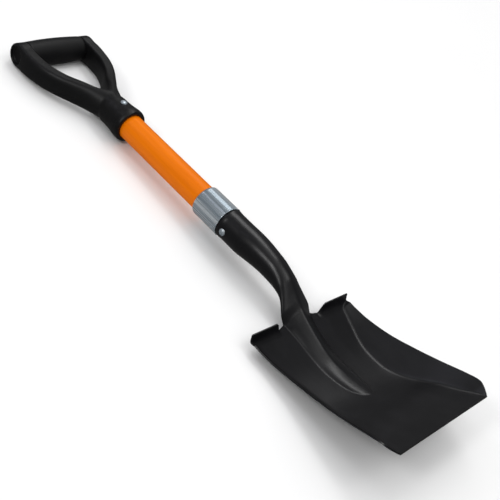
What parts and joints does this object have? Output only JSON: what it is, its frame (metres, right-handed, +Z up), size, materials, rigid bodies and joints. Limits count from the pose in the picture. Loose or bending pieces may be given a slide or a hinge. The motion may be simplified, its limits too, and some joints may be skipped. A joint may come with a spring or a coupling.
{
  "type": "short-handled shovel",
  "caption": "Short rigid shovel: dished square-mouth pressed steel blade with turned treads, riveted socket and ferrule, straight fibreglass shaft and moulded D-grip, lying on its back.",
  "frame": {"origin": "on the surface that the shovel lies on, under the middle of its length and width", "axes": "+Y along the shovel from the lip of the blade to the grip, +Z up out of the blade's open face, +X across the blade; the shaft slopes 2.6 degrees down towards the grip, as the shovel rests"},
  "size_m": [0.1692, 0.6842, 0.061],
  "materials": {
    "black_paint": "semi-gloss black enamel on pressed steel",
    "zinc_steel": "bright zinc plating with lengthwise drawing marks",
    "orange_fibreglass": "smooth pigmented resin",
    "ash_wood": "bare turned dowel, hidden",
    "black_plastic": "moulded, fine matt texture with soft sheen",
    "cap_plastic": "moulded, matt",
    "rod_steel": "plain drawn rod, hidden"
  },
  "bodies": {
    "root": {"blade": "black_paint", "ferrule": "zinc_steel", "shaft_tube": "orange_fibreglass", "lower_core_plug": "ash_wood", "upper_core_plug": "ash_wood", "blade_rivet": "zinc_steel", "grip_rivet": "zinc_steel", "grip_yoke": "black_plastic", "grip_bar": "black_plastic", "grip_core_rod": "rod_steel", "end_cap_left": "cap_plastic", "end_cap_right": "cap_plastic"}
  },
  "joints": []
}
